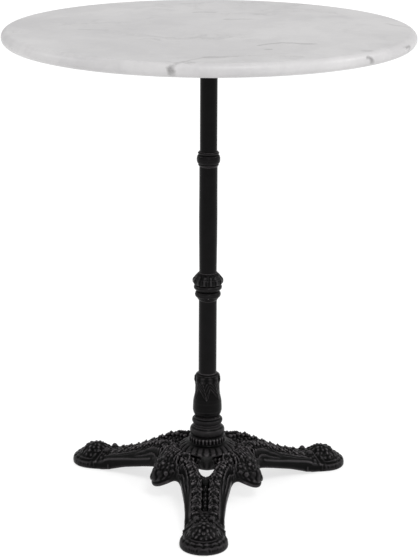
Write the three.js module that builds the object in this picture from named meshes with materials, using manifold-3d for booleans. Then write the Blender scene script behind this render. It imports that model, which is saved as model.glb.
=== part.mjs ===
// Bistro table: a round marble top on a slim ornamental cast-iron column and a three-legged cast-iron base.
// Millimetres, +Z up. The origin is on the floor, on the column's axis. One leg points along -Y.
import * as THREE from "three";
import { mergeVertices } from "three/addons/utils/BufferGeometryUtils.js";
import Module from "manifold-3d";

const wasm = await Module();
wasm.setup();

// ---------- driving dimensions ----------
const TABLE_HEIGHT = 720;
const TOP_RADIUS = 300;
const TOP_THICKNESS = 20;
const LEG_COUNT = 3;
const ARM_COUNT = 4; // of the spider under the marble
const GAP = 0.3; // between pieces that touch

// heights at which the stacked pieces of the column meet
const Z_BASE_TOP = 107.5; // base casting, then the neck ring
const Z_RING_TOP = 122.2; // then the vase
const Z_VASE_TOP = 192.5; // then the lower tube's shoulder
const Z_KNOP_BOTTOM = 308.5;
const Z_KNOP_TOP = 352;
const Z_COLLAR_BOTTOM = 515.5;
const Z_COLLAR_TOP = 537.5;
const Z_SPIDER_BOTTOM = 654;
const Z_SPIDER_TOP = 697;
const Z_MARBLE_BOTTOM = TABLE_HEIGHT - TOP_THICKNESS;

// tubes, and the sockets that take their ends
const LOWER_TUBE_R = 13.65;
const MIDDLE_TUBE_R = 13.8; // at its widest
const UPPER_TUBE_R = 12.85;
const TUBE_WALL = 3.2;
const VASE_SOCKET = 14; // socket depths
const KNOP_SOCKET = 10;
const COLLAR_SOCKET = 7;
const SPIDER_SOCKET = 16;
const SPIGOT_R = 9.5; // centring rings that stand on the ring and the base
const SPIGOT_HEIGHT = 4;

// M10 tie rod that clamps the stack together, with its nuts and washers
const ROD_R = 5;
const ROD_BORE_R = 5.6;
const ROD_BOTTOM = 39.4;
const ROD_TOP = 696;
const NUT_HEIGHT = 8;
const NUT_CORNER_R = 9.8; // 17 mm across flats
const NUT_BORE_R = 5.4;
const ROD_WASHER_R = 10.5;
const ROD_WASHER_HEIGHT = 2;
const TOP_RECESS_R = 13;
const TOP_RECESS_FLOOR = 683;
const BOTTOM_RECESS_R = 11.5;
const BOTTOM_RECESS_CEILING = 52;

// spider arms, and the M6 screws and threaded inserts that hold the marble
const ARM_REACH = 135; // axis to screw
const ARM_HALF_WIDTH = 13;
const ARM_THICKNESS = 6;
const RIB_HALF_WIDTH = 3.5;
const RIB_DEPTH = 28;
const SPIDER_BOSS_R = 21;
const SCREW_R = 2.9;
const SCREW_HOLE_R = 3.4;
const SCREW_HEAD_R = 5.6;
const SCREW_HEAD_HEIGHT = 4.2;
const SCREW_WASHER_R = 7.5;
const SCREW_WASHER_HEIGHT = 1.6;
const INSERT_R = 5;
const INSERT_HEIGHT = 11;
const INSERT_HOLE_R = 5.5;
const INSERT_HOLE_DEPTH = 13;
const PAD_R = 11; // rubber pad between an arm and the marble

// base casting
const BOSS_BOTTOM = 39;
const FOOT_S = 211; // axis to the middle of a foot
const BUD_S = 205; // the dome on the foot sits a little nearer the axis
const FOOT_R = 34.5;
const FOOT_UNDERSIDE = 1.5; // above the floor: the glides stand a little proud
const CHEEK_WALL = 6;
const WEB_THICKNESS = 7;
const OPENING_HALF_WIDTH = 20; // of the hole in the top of a leg, beside the boss
const OPENING_THROAT = 11.5; // its half-width lower down
const OPENING_END = 95;
const LOBE_REACH = 97; // leaf-shaped lobes between the legs
const LOBE_TIP = 22;
const LOBE_HALF_ANGLE = 24; // degrees
const VALANCE_REACH = 78; // edge of the crown beside a lobe
const VALANCE_EDGE = 37;

// levelling glides: an M8 stud on a swivel pad
const POCKET_R = 19;
const POCKET_CEILING = 9;
const GLIDE_PAD_R = 17;
const GLIDE_PAD_HEIGHT = 5;
const STUD_R = 3.7;
const STUD_HOLE_R = 3.8;
const STUD_BOTTOM = 2.3;
const STUD_TOP = 25;
const STUD_HOLE_TOP = 27;
const STUD_HEX_R = 7.5;

// facets round a turned piece
const FACETS_TOP = 48;
const FACETS_COLUMN = 20;
const FACETS_STUD = 16;
const FACETS_FASTENER = 12;

// ---------- materials ----------
const finish = (color, roughness, metalness) =>
  new THREE.MeshStandardMaterial({ color, roughness, metalness });
const marble = () => finish(0xd6d5d4, 0.3, 0);
const iron = () => finish(0x161514, 0.5, 0.2);
const steel = () => finish(0x9a9c9e, 0.4, 0.9);
const brass = () => finish(0xb08d4a, 0.4, 0.9);
const rubber = () => finish(0x202020, 0.9, 0);
const nylon = () => finish(0x1b1b1b, 0.6, 0);

// ---------- building blocks ----------
// Triangle list as a geometry whose faces point outwards.
function skin(positions, triangles) {
  const corner = (i) => new THREE.Vector3().fromArray(positions, 3 * i);
  let volume = 0;
  for (const [a, b, c] of triangles) volume += corner(a).dot(corner(b).cross(corner(c)));
  const outward = volume > 0 ? triangles : triangles.map(([a, b, c]) => [a, c, b]);
  return new THREE.BufferGeometry()
    .setAttribute("position", new THREE.Float32BufferAttribute(positions, 3))
    .setIndex(outward.flat());
}

function toSolid(geometry) {
  geometry.deleteAttribute("normal");
  geometry.deleteAttribute("uv");
  const merged = mergeVertices(geometry, 1e-3);
  const index = merged.index.array;
  const triangles = [];
  for (let i = 0; i < index.length; i += 3) {
    const [a, b, c] = [index[i], index[i + 1], index[i + 2]];
    if (a !== b && b !== c && c !== a) triangles.push(a, b, c);
  }
  const mesh = new wasm.Mesh({
    numProp: 3,
    vertProperties: merged.attributes.position.array,
    triVerts: new Uint32Array(triangles),
  });
  return new wasm.Manifold(mesh);
}

function toGeometry(solid) {
  const mesh = solid.getMesh();
  return new THREE.BufferGeometry()
    .setAttribute("position", new THREE.BufferAttribute(new Float32Array(mesh.vertProperties), 3))
    .setIndex(new THREE.BufferAttribute(new Uint32Array(mesh.triVerts), 1));
}

const join = (pieces) => toGeometry(pieces.map(toSolid).reduce((whole, piece) => whole.add(piece)));
const cut = (body, tools) =>
  toGeometry(tools.map(toSolid).reduce((whole, tool) => whole.subtract(tool), toSolid(body)));

// Solid of revolution about Z. The outline is [radius, height] points up the outside, and a bore makes
// it a ring.
function turned(outline, facets, bore = 0) {
  const bottom = outline[0][1];
  const top = outline[outline.length - 1][1];
  const ends = bore > 0 ? [[bore, top], [bore, bottom]] : [[0, top]];
  const points = [[bore, bottom], ...outline, ...ends].map(([r, z]) => new THREE.Vector2(r, z));
  const lathe = new THREE.LatheGeometry(points, facets).rotateX(Math.PI / 2);
  const index = Array.from(lathe.index.array);
  const triangles = [];
  for (let i = 0; i < index.length; i += 3) triangles.push(index.slice(i, i + 3));
  return skin(Array.from(lathe.attributes.position.array), triangles);
}

const cylinder = (radius, bottom, top, facets, bore = 0) =>
  turned([[radius, bottom], [radius, top]], facets, bore);

// Points on a rounded moulding of the given half-height that swells from its root radius to its full radius.
function roll(rootR, fullR, middle, halfHeight, steps) {
  const points = [];
  for (let i = 0; i <= steps; i++) {
    const angle = -Math.PI / 2 + (i * Math.PI) / steps;
    points.push([rootR + (fullR - rootR) * Math.cos(angle), middle + halfHeight * Math.sin(angle)]);
  }
  return points;
}

function hexPrism(cornerR, bottom, top) {
  const outline = [[cornerR, bottom], [cornerR, top]];
  return turned(outline, 6);
}

// Skin over a row of rings that each hold equally many [x, y, z] corners. An open row is capped at both ends
// with the triangles that fill its outline in the plane picked by capPlane. A closed row runs into its start.
function loft(rings, capPlane) {
  const corners = rings[0].length;
  const triangles = [];
  const last = capPlane ? rings.length - 1 : rings.length;
  for (let i = 0; i < last; i++)
    for (let j = 0; j < corners; j++) {
      const here = i * corners;
      const next = ((i + 1) % rings.length) * corners;
      const k = (j + 1) % corners;
      triangles.push([here + j, here + k, next + k], [here + j, next + k, next + j]);
    }
  if (capPlane) {
    const flat = rings[0].map(capPlane);
    const anticlockwise = !THREE.ShapeUtils.isClockWise(flat);
    const end = (rings.length - 1) * corners;
    for (const ring of [rings[0], rings[rings.length - 1]]) {
      const start = ring === rings[0] ? 0 : end;
      for (const [a, b, c] of THREE.ShapeUtils.triangulateShape(ring.map(capPlane), [])) {
        const forward = (start === end) === anticlockwise;
        triangles.push(forward ? [start + a, start + b, start + c] : [start + a, start + c, start + b]);
      }
    }
  }
  return skin(rings.flat(2), triangles);
}

// ---------- the stone top ----------
function marbleTop() {
  const halfThickness = TOP_THICKNESS / 2;
  const middle = TABLE_HEIGHT - halfThickness;
  const slab = turned(roll(TOP_RADIUS - halfThickness, TOP_RADIUS, middle, halfThickness, 10), FACETS_TOP);
  const holeTop = Z_MARBLE_BOTTOM + INSERT_HOLE_DEPTH;
  const hole = cylinder(INSERT_HOLE_R, Z_MARBLE_BOTTOM - 1, holeTop, FACETS_FASTENER);
  return cut(slab, aroundArms(hole));
}

// The same piece at every spider arm's screw.
function aroundArms(geometry) {
  const copies = [];
  for (let i = 0; i < ARM_COUNT; i++) {
    const angle = ((i + 0.5) * 2 * Math.PI) / ARM_COUNT;
    copies.push(geometry.clone().translate(ARM_REACH, 0, 0).rotateZ(angle));
  }
  return copies;
}

const insert = () => {
  const bottom = Z_MARBLE_BOTTOM + GAP;
  return cylinder(INSERT_R, bottom, bottom + INSERT_HEIGHT, FACETS_FASTENER, SCREW_R + GAP);
};
const spiderPad = () =>
  cylinder(PAD_R, Z_SPIDER_TOP + GAP, Z_MARBLE_BOTTOM - GAP, FACETS_FASTENER, SCREW_HOLE_R);

const ARM_UNDERSIDE = Z_SPIDER_TOP - ARM_THICKNESS;
const SCREW_SEAT = ARM_UNDERSIDE - GAP - SCREW_WASHER_HEIGHT - GAP;
const spiderWasher = () =>
  cylinder(SCREW_WASHER_R, SCREW_SEAT + GAP, ARM_UNDERSIDE - GAP, FACETS_FASTENER, SCREW_HOLE_R);

function spiderScrew() {
  const head = [
    [SCREW_HEAD_R - 0.6, SCREW_SEAT - SCREW_HEAD_HEIGHT],
    [SCREW_HEAD_R, SCREW_SEAT - SCREW_HEAD_HEIGHT + 0.6],
    [SCREW_HEAD_R, SCREW_SEAT],
  ];
  const shank = [
    [SCREW_R, SCREW_SEAT],
    [SCREW_R, Z_MARBLE_BOTTOM + INSERT_HEIGHT - 1],
  ];
  const key = hexPrism(2.3, SCREW_SEAT - SCREW_HEAD_HEIGHT - 1, SCREW_SEAT - 1.5);
  return cut(turned([...head, ...shank], FACETS_FASTENER), [key]);
}

// ---------- the spider ----------
function topSpider() {
  const boss = turned(
    [
      [17.5, Z_SPIDER_BOTTOM],
      [18.5, Z_SPIDER_BOTTOM + 1],
      [18.5, Z_SPIDER_BOTTOM + 14],
      [SPIDER_BOSS_R, Z_SPIDER_BOTTOM + 20],
      [SPIDER_BOSS_R, Z_SPIDER_TOP],
    ],
    FACETS_COLUMN,
  );
  const pieces = [boss];
  for (let i = 0; i < ARM_COUNT; i++) {
    const angle = ((i + 0.5) * 2 * Math.PI) / ARM_COUNT;
    pieces.push(arm().rotateZ(angle), rib().rotateZ(angle));
  }
  const tubeSocket = cylinder(
    UPPER_TUBE_R + GAP,
    Z_SPIDER_BOTTOM - 1,
    Z_SPIDER_BOTTOM + SPIDER_SOCKET,
    FACETS_COLUMN,
  );
  const rodBore = cylinder(ROD_BORE_R, Z_SPIDER_BOTTOM, Z_SPIDER_TOP + 1, FACETS_FASTENER);
  const nutRecess = cylinder(TOP_RECESS_R, TOP_RECESS_FLOOR, Z_SPIDER_TOP + 1, FACETS_COLUMN);
  const screwHole = cylinder(SCREW_HOLE_R, ARM_UNDERSIDE - 5, Z_SPIDER_TOP + 1, FACETS_FASTENER);
  return cut(join(pieces), [tubeSocket, rodBore, nutRecess, ...aroundArms(screwHole)]);
}

// One flat arm with a round end, seen from above.
function arm() {
  const shape = new THREE.Shape();
  shape.moveTo(5, -ARM_HALF_WIDTH - 4);
  shape.lineTo(ARM_REACH * 0.8, -ARM_HALF_WIDTH + 1);
  shape.absarc(ARM_REACH, 0, ARM_HALF_WIDTH, -Math.PI / 2, Math.PI / 2, false);
  shape.lineTo(ARM_REACH * 0.8, ARM_HALF_WIDTH - 1);
  shape.lineTo(5, ARM_HALF_WIDTH + 4);
  shape.closePath();
  const options = { depth: ARM_THICKNESS, bevelEnabled: false, curveSegments: 10 };
  return new THREE.ExtrudeGeometry(shape, options).translate(0, 0, ARM_UNDERSIDE);
}

// The stiffening rib under an arm, deepest at the boss, seen from the side.
function rib() {
  const shape = new THREE.Shape();
  shape.moveTo(15, Z_SPIDER_TOP - 1);
  shape.lineTo(15, Z_SPIDER_TOP - RIB_DEPTH);
  shape.lineTo(28, Z_SPIDER_TOP - RIB_DEPTH + 4);
  shape.lineTo(ARM_REACH - 14, ARM_UNDERSIDE - 2);
  shape.lineTo(ARM_REACH - 14, Z_SPIDER_TOP - 1);
  shape.closePath();
  const options = { depth: 2 * RIB_HALF_WIDTH, bevelEnabled: false };
  return new THREE.ExtrudeGeometry(shape, options).rotateX(Math.PI / 2).translate(0, RIB_HALF_WIDTH, 0);
}

// ---------- the column ----------
function upperColumn() {
  const bottom = Z_COLLAR_TOP - COLLAR_SOCKET + GAP;
  const top = Z_SPIDER_BOTTOM + SPIDER_SOCKET - GAP;
  return cylinder(UPPER_TUBE_R, bottom, top, FACETS_COLUMN, UPPER_TUBE_R - TUBE_WALL);
}

function columnCollar() {
  const middle = 526;
  const body = turned(
    [
      [14, Z_COLLAR_BOTTOM],
      [15.4, 517.4],
      ...roll(14.9, 17.5, middle, 6.6, 6),
      [15.9, 535.6],
      [14.4, Z_COLLAR_TOP],
    ],
    FACETS_COLUMN,
  );
  return cut(body, [
    cylinder(UPPER_TUBE_R + GAP, Z_COLLAR_TOP - COLLAR_SOCKET, Z_COLLAR_TOP + 1, FACETS_COLUMN),
    cylinder(13.1 + GAP, Z_COLLAR_BOTTOM - 1, Z_COLLAR_BOTTOM + COLLAR_SOCKET, FACETS_COLUMN),
    cylinder(ROD_BORE_R, Z_COLLAR_BOTTOM, Z_COLLAR_TOP, FACETS_FASTENER),
  ]);
}

// A tube with a slight swelling above its middle and turned-down ends.
function middleColumn() {
  const bottom = Z_KNOP_TOP - KNOP_SOCKET + GAP;
  const top = Z_COLLAR_BOTTOM + COLLAR_SOCKET - GAP;
  return turned(
    [
      [13.1, bottom],
      [13.1, Z_KNOP_TOP + GAP],
      [13.15, 356],
      [13.4, 385],
      [MIDDLE_TUBE_R - 0.1, 420],
      [MIDDLE_TUBE_R, 440],
      [MIDDLE_TUBE_R - 0.15, 463],
      [13.55, 480],
      [13.55, Z_COLLAR_BOTTOM - GAP],
      [13.1, Z_COLLAR_BOTTOM - GAP],
      [13.1, top],
    ],
    FACETS_COLUMN,
    MIDDLE_TUBE_R - TUBE_WALL - 1,
  );
}

function knop() {
  const body = turned(
    [
      [13.95, Z_KNOP_BOTTOM],
      [16.1, 311.6],
      ...roll(16.3, 19.6, 317.8, 4.6, 6),
      ...roll(17, 21.4, 329, 4.3, 6),
      ...roll(20.4, 22.7, 339, 5, 6).slice(1),
      [17.9, 347.8],
      [15, 351],
      [14, Z_KNOP_TOP],
    ],
    FACETS_COLUMN,
  );
  return cut(body, [
    cylinder(13.1 + GAP, Z_KNOP_TOP - KNOP_SOCKET, Z_KNOP_TOP + 1, FACETS_COLUMN),
    cylinder(13.1 + GAP, Z_KNOP_BOTTOM - 1, Z_KNOP_BOTTOM + KNOP_SOCKET, FACETS_COLUMN),
    cylinder(ROD_BORE_R, Z_KNOP_BOTTOM, Z_KNOP_TOP, FACETS_FASTENER),
  ]);
}

function lowerColumn() {
  const bottom = Z_VASE_TOP - VASE_SOCKET + GAP;
  const top = Z_KNOP_BOTTOM + KNOP_SOCKET - GAP;
  return turned(
    [
      [13.1, bottom],
      [13.1, Z_VASE_TOP + GAP],
      [LOWER_TUBE_R, Z_VASE_TOP + GAP],
      [LOWER_TUBE_R, Z_KNOP_BOTTOM - GAP],
      [13.1, Z_KNOP_BOTTOM - GAP],
      [13.1, top],
    ],
    FACETS_COLUMN,
    LOWER_TUBE_R - TUBE_WALL - 1,
  );
}

function vase() {
  const bottom = Z_RING_TOP + GAP;
  const body = turned(
    [
      [18.5, bottom],
      [20.3, 126],
      [21.2, 128],
      [21.95, 133.5],
      [21.4, 142.5],
      [20.3, 150],
      [18.8, 157],
      [17.6, 164],
      [17.5, 171],
      [18.2, 178],
      [18.8, 184],
      [17.9, 188],
      [15.5, 191.4],
      [14.6, Z_VASE_TOP],
    ],
    FACETS_COLUMN,
  );
  return cut(body, [
    cylinder(13.1 + GAP, Z_VASE_TOP - VASE_SOCKET, Z_VASE_TOP + 1, FACETS_COLUMN),
    cylinder(SPIGOT_R + GAP, bottom - 1, bottom + SPIGOT_HEIGHT + GAP, FACETS_COLUMN),
    cylinder(ROD_BORE_R, bottom, Z_VASE_TOP, FACETS_FASTENER),
  ]);
}

function neckRing() {
  const bottom = Z_BASE_TOP + GAP;
  const body = turned(
    [
      [20.4, bottom],
      [20.6, 109],
      ...roll(20.7, 23.05, 114.5, 5.2, 6),
      [20, 120.6],
      [18.8, Z_RING_TOP],
      [SPIGOT_R, Z_RING_TOP],
      [SPIGOT_R, Z_RING_TOP + SPIGOT_HEIGHT],
    ],
    FACETS_COLUMN,
    ROD_BORE_R,
  );
  return cut(body, [cylinder(SPIGOT_R + GAP, bottom - 1, bottom + SPIGOT_HEIGHT + GAP, FACETS_COLUMN)]);
}

// ---------- the base casting ----------
// A leg's sections: distance from the axis, half-width, underside, ledge on the flank, crest, and the
// distance of each crest from the leg's middle.
const LEG_SECTIONS = [
  [6, 30, 42, 56, 70, 24],
  [30, 35, 41, 56, 74, 26],
  [50, 38, 38, 53, 75, 26],
  [68, 37.5, 34, 49, 73, 25],
  [84, 34.5, 30.5, 44, 67.5, 20],
  [100, 32.3, 26, 39, 59.5, 14.5],
  [115, 30.5, 21.5, 34.5, 51, 12.5],
  [135, 29.8, 16, 30, 41, 12.5],
  [150, 29.5, 10.5, 26, 35, 12.5],
  [165, 29.5, 5, 22.5, 30.5, 12.5],
  [180, 32, FOOT_UNDERSIDE, 17, 28, 12.5],
  [192, 33, FOOT_UNDERSIDE, 13, 27, 12.5],
];
const CREST_HALF_WIDTH = 3;
const GROOVE_DEPTH = 6; // between the crests

// Solid outside of the front leg: a rounded bar with two crests and a groove between them.
function legBar() {
  const rings = LEG_SECTIONS.map(([s, w, underside, ledge, crest, n]) => {
    const right = [
      [w, underside],
      [w, ledge],
      [(w + n) / 2 + CREST_HALF_WIDTH, (ledge + crest) / 2 + 3],
      [n + CREST_HALF_WIDTH, crest],
      [n - CREST_HALF_WIDTH, crest],
      [n - 2 * CREST_HALF_WIDTH, crest - GROOVE_DEPTH],
    ];
    const left = right.map(([x, z]) => [-x, z]).reverse();
    return [...right, ...left].map(([x, z]) => [x, -s, z]);
  });
  return loft(rings, ([x, , z]) => new THREE.Vector2(x, z));
}

// The space inside the leg, open downwards.
function legHollow() {
  const rings = LEG_SECTIONS.filter(([s]) => s <= 165).map(([s, w, underside, ledge, crest]) => {
    const side = w - CHEEK_WALL;
    const right = [
      [side, underside - 5],
      [side, Math.max(ledge - 5, underside + 1)],
      [11, Math.max(crest - GROOVE_DEPTH - WEB_THICKNESS, underside + 2)],
    ];
    const left = right.map(([n, z]) => [-n, z]).reverse();
    return [...right, ...left].map(([n, z]) => [n, -s, z]);
  });
  return loft(rings, ([x, , z]) => new THREE.Vector2(x, z));
}

// The hole in the top of the leg in front of the hub's boss: a funnel that narrows downwards, and towards the
// foot to a rounded end.
function legOpening() {
  const outline = (halfWidth) => {
    const shape = new THREE.Shape();
    shape.moveTo(-halfWidth, -2);
    shape.lineTo(-halfWidth, -(OPENING_END - 33));
    shape.quadraticCurveTo(-halfWidth, -(OPENING_END - 18), -9, -(OPENING_END - 4));
    shape.quadraticCurveTo(0, -(OPENING_END + 4), 9, -(OPENING_END - 4));
    shape.quadraticCurveTo(halfWidth, -(OPENING_END - 18), halfWidth, -(OPENING_END - 33));
    shape.lineTo(halfWidth, -2);
    return shape.getPoints(5).slice(0, -1);
  };
  const level = (halfWidth, z) => outline(halfWidth).map(({ x, y }) => [x, y, z]);
  const rings = [
    level(OPENING_THROAT, 10),
    level(OPENING_THROAT, 50),
    level(OPENING_HALF_WIDTH, 61),
    level(OPENING_HALF_WIDTH, 110),
  ];
  return loft(rings, ([x, y]) => new THREE.Vector2(x, y));
}

// The crown: a drooping shell round the hub whose edge drops to a leaf-shaped lobe between the legs.
function crown() {
  const steps = 60;
  const rings = [];
  for (let i = 0; i < steps; i++) {
    const angle = (i * 2 * Math.PI) / steps;
    const fromLobe = Math.abs((((THREE.MathUtils.radToDeg(angle) + 30) % 120) + 120) % 120 - 60);
    const away = Math.min(1, (60 - fromLobe) / LOBE_HALF_ANGLE);
    const lobe = (1 + Math.cos(Math.PI * away)) / 2;
        const between = (beside, onLobe) => THREE.MathUtils.lerp(beside, onLobe, lobe);
    const reach = between(VALANCE_REACH, LOBE_REACH);
    const edge = between(VALANCE_EDGE, LOBE_TIP);
    const outline = [
      [20, 58],
      [between(48, 58), between(60, 62)],
      [between(64, 76), between(50, 47)],
      [reach - 6, edge + 1],
      [reach - 2, edge],
      [reach, edge + 6],
      [between(74, 86), between(57, 53)],
      [between(66, 70), between(68, 69)],
      [between(55, 57), 75],
      [45, 73],
      [20, 71],
    ];
    rings.push(outline.map(([r, z]) => [r * Math.cos(angle), r * Math.sin(angle), z]));
  }
  return loft(rings);
}

function hub() {
  return turned(
    [
      [19, BOSS_BOTTOM],
      [21, 42],
      [22.5, 52],
      [22.5, 60],
      [26, 66],
      [41.5, 67],
      [42.3, 69],
      [40.5, 72],
      [34, 77.5],
      [28.2, 80],
      [28.2, 84],
      [25.4, 87],
      [25.2, 95],
      [25.5, 99.7],
      [24.7, 103],
      [23, 104.7],
      [22.4, Z_BASE_TOP],
      [SPIGOT_R, Z_BASE_TOP],
      [SPIGOT_R, Z_BASE_TOP + SPIGOT_HEIGHT],
    ],
    FACETS_COLUMN,
  );
}

function foot() {
  const plinth = turned(
    [
      [33.5, FOOT_UNDERSIDE],
      [FOOT_R, FOOT_UNDERSIDE + 1.5],
      [FOOT_R, 8.5],
      [32.5, 11],
      [27, 13.5],
      [20, 16],
    ],
    FACETS_COLUMN,
  ).translate(0, -FOOT_S, 0);
  const bud = turned(
    [
      [20, 8],
      [26, 15],
      [25, 20],
      [22, 26],
      [16, 31],
      [8, 33],
    ],
    FACETS_COLUMN,
  ).translate(0, -BUD_S, 0);
  return [plinth, bud];
}

function tripodBase() {
  const turn = (i) => (i * 2 * Math.PI) / LEG_COUNT;
  const around = (pieces) =>
    pieces.flatMap((piece) => Array.from({ length: LEG_COUNT }, (_, i) => piece.clone().rotateZ(turn(i))));
  const shell = cut(join([crown(), ...around([legBar()])]), around([legHollow(), legOpening()]));
  const whole = join([shell, hub(), ...around(foot())]);
  const pocket = cylinder(POCKET_R, FOOT_UNDERSIDE - 1, POCKET_CEILING, FACETS_COLUMN);
  const studHole = cylinder(STUD_HOLE_R, POCKET_CEILING - 1, STUD_HOLE_TOP, FACETS_STUD);
  return cut(whole, [
    cylinder(ROD_BORE_R, BOSS_BOTTOM - 1, Z_BASE_TOP + SPIGOT_HEIGHT + 1, FACETS_FASTENER),
    cylinder(BOTTOM_RECESS_R, BOSS_BOTTOM - 1, BOTTOM_RECESS_CEILING, FACETS_COLUMN),
    ...around([pocket.translate(0, -FOOT_S, 0), studHole.translate(0, -FOOT_S, 0)]),
  ]);
}

// ---------- the tie rod ----------
const tieRod = () => cylinder(ROD_R, ROD_BOTTOM, ROD_TOP, FACETS_FASTENER);
const rodWasher = (bottom) =>
  cylinder(ROD_WASHER_R, bottom, bottom + ROD_WASHER_HEIGHT, FACETS_COLUMN, ROD_BORE_R);
const rodNut = (bottom) =>
  cut(hexPrism(NUT_CORNER_R, bottom, bottom + NUT_HEIGHT), [
    cylinder(NUT_BORE_R, bottom - 1, bottom + NUT_HEIGHT + 1, FACETS_FASTENER),
  ]);

// ---------- the levelling glides ----------
function glidePad() {
  const body = turned(
    [
      [GLIDE_PAD_R - 0.8, 0],
      [GLIDE_PAD_R, 0.8],
      [GLIDE_PAD_R, 3],
      [GLIDE_PAD_R - 3, GLIDE_PAD_HEIGHT],
    ],
    FACETS_COLUMN,
  );
  return cut(body, [cylinder(STUD_HOLE_R, STUD_BOTTOM - GAP, GLIDE_PAD_HEIGHT + 1, FACETS_STUD)]);
}

function glideStud() {
  const shank = cylinder(STUD_R, STUD_BOTTOM, STUD_TOP, FACETS_STUD);
  const nut = hexPrism(STUD_HEX_R, GLIDE_PAD_HEIGHT + GAP, GLIDE_PAD_HEIGHT + GAP + 3);
  return join([shank, nut]);
}

// ---------- assembly ----------
const table = new THREE.Group();
table.name = "bistro_table";

function place(name, geometry, material) {
  const mesh = new THREE.Mesh(geometry, material);
  mesh.name = name;
  table.add(mesh);
}

place("marble_top", marbleTop(), marble());
aroundArms(insert()).forEach((geometry, i) => place(`marble_insert_${i + 1}`, geometry, brass()));
aroundArms(spiderPad()).forEach((geometry, i) => place(`spider_pad_${i + 1}`, geometry, rubber()));
place("top_spider", topSpider(), iron());
aroundArms(spiderWasher()).forEach((geometry, i) => place(`spider_washer_${i + 1}`, geometry, steel()));
aroundArms(spiderScrew()).forEach((geometry, i) => place(`spider_screw_${i + 1}`, geometry, steel()));
place("upper_column", upperColumn(), iron());
place("column_collar", columnCollar(), iron());
place("middle_column", middleColumn(), iron());
place("knop", knop(), iron());
place("lower_column", lowerColumn(), iron());
place("vase", vase(), iron());
place("neck_ring", neckRing(), iron());
place("tripod_base", tripodBase(), iron());
place("tie_rod", tieRod(), steel());
place("tie_washer_top", rodWasher(TOP_RECESS_FLOOR + GAP), steel());
place("tie_nut_top", rodNut(TOP_RECESS_FLOOR + ROD_WASHER_HEIGHT + 2 * GAP), steel());
place("tie_washer_bottom", rodWasher(BOTTOM_RECESS_CEILING - ROD_WASHER_HEIGHT - GAP), steel());
place("tie_nut_bottom", rodNut(BOTTOM_RECESS_CEILING - ROD_WASHER_HEIGHT - NUT_HEIGHT - 2 * GAP), steel());
for (let i = 0; i < LEG_COUNT; i++) {
  const angle = (i * 2 * Math.PI) / LEG_COUNT;
  const atFoot = (geometry) => geometry.translate(0, -FOOT_S, 0).rotateZ(angle);
  place(`glide_pad_${i + 1}`, atFoot(glidePad()), nylon());
  place(`glide_stud_${i + 1}`, atFoot(glideStud()), steel());
}

export default table;
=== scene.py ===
"""Looks of a marble-topped bistro table with an ornate cast-iron base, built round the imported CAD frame."""

import math

import bmesh
import bpy
import numpy as np
from mathutils import Matrix, Vector


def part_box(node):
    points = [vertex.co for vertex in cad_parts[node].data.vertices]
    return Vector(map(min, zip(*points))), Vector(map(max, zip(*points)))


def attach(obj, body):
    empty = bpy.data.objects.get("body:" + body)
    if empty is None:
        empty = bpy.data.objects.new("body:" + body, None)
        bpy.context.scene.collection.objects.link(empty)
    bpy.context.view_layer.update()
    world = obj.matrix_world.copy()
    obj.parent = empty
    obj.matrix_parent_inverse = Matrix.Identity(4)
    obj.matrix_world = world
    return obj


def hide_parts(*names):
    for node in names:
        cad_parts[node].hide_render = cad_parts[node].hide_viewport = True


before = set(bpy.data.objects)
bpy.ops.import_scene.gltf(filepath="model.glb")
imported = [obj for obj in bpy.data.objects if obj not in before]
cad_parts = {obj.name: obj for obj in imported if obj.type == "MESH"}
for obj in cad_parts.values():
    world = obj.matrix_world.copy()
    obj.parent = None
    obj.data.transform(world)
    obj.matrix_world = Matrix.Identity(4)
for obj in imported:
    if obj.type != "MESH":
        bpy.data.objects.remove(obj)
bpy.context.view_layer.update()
scene = bpy.context.scene

SHARP = math.radians(42)  # edges bent more than this are creased
MM = 0.001  # the shapes below are worked out in millimetres
BODY = "table"
MOST_TRIANGLES = 195_000  # in one piece


def add_object(name, data):
    new = bpy.data.objects.new(name, data)
    scene.collection.objects.link(new)
    return new


def evaluated_mesh(piece):
    """The piece's mesh with its modifiers applied, as new data."""
    return bpy.data.meshes.new_from_object(piece.evaluated_get(bpy.context.evaluated_depsgraph_get()))


# ---------- camera ----------
CAMERA_DISTANCE = 2.613  # level distance from the column's axis
CAMERA_HEIGHT = 1.126
CAMERA_PITCH = math.radians(16.71)
CAMERA_AZIMUTH = math.radians(1.1)
CAMERA_ROLL = 0.005
CAMERA_SIDESTEP = 0.0016
CAMERA_LENS = 117.1


def make_camera():
    data = bpy.data.cameras.new("camera")
    data.lens = CAMERA_LENS
    data.sensor_width = 36
    camera = add_object("camera", data)
    turn = Matrix.Rotation(CAMERA_AZIMUTH, 4, "Z")
    tilt = Matrix.Rotation(math.pi / 2 - CAMERA_PITCH, 4, "X")
    roll = Matrix.Rotation(CAMERA_ROLL, 4, "Z")
    place = Matrix.Translation((CAMERA_SIDESTEP, -CAMERA_DISTANCE, CAMERA_HEIGHT))
    camera.matrix_world = turn @ place @ tilt @ roll
    scene.camera = camera


# ---------- node helpers ----------
def new_material(name):
    material = bpy.data.materials.new(name)
    material.use_nodes = True
    tree = material.node_tree
    tree.nodes.clear()
    output = tree.nodes.new("ShaderNodeOutputMaterial")
    shader = tree.nodes.new("ShaderNodeBsdfPrincipled")
    tree.links.new(shader.outputs["BSDF"], output.inputs["Surface"])
    return material, tree, shader


def add_node(tree, kind, links=(), **values):
    """A node whose inputs are set by name, or linked from the sockets in links."""
    node = tree.nodes.new(kind)
    for key, value in values.items():
        setattr(node, key, value)
    for name, source in dict(links).items():
        if hasattr(source, "is_output"):
            tree.links.new(source, node.inputs[name])
        else:
            node.inputs[name].default_value = source
    return node


def object_place(tree):
    return add_node(tree, "ShaderNodeTexCoord").outputs["Object"]


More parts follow.
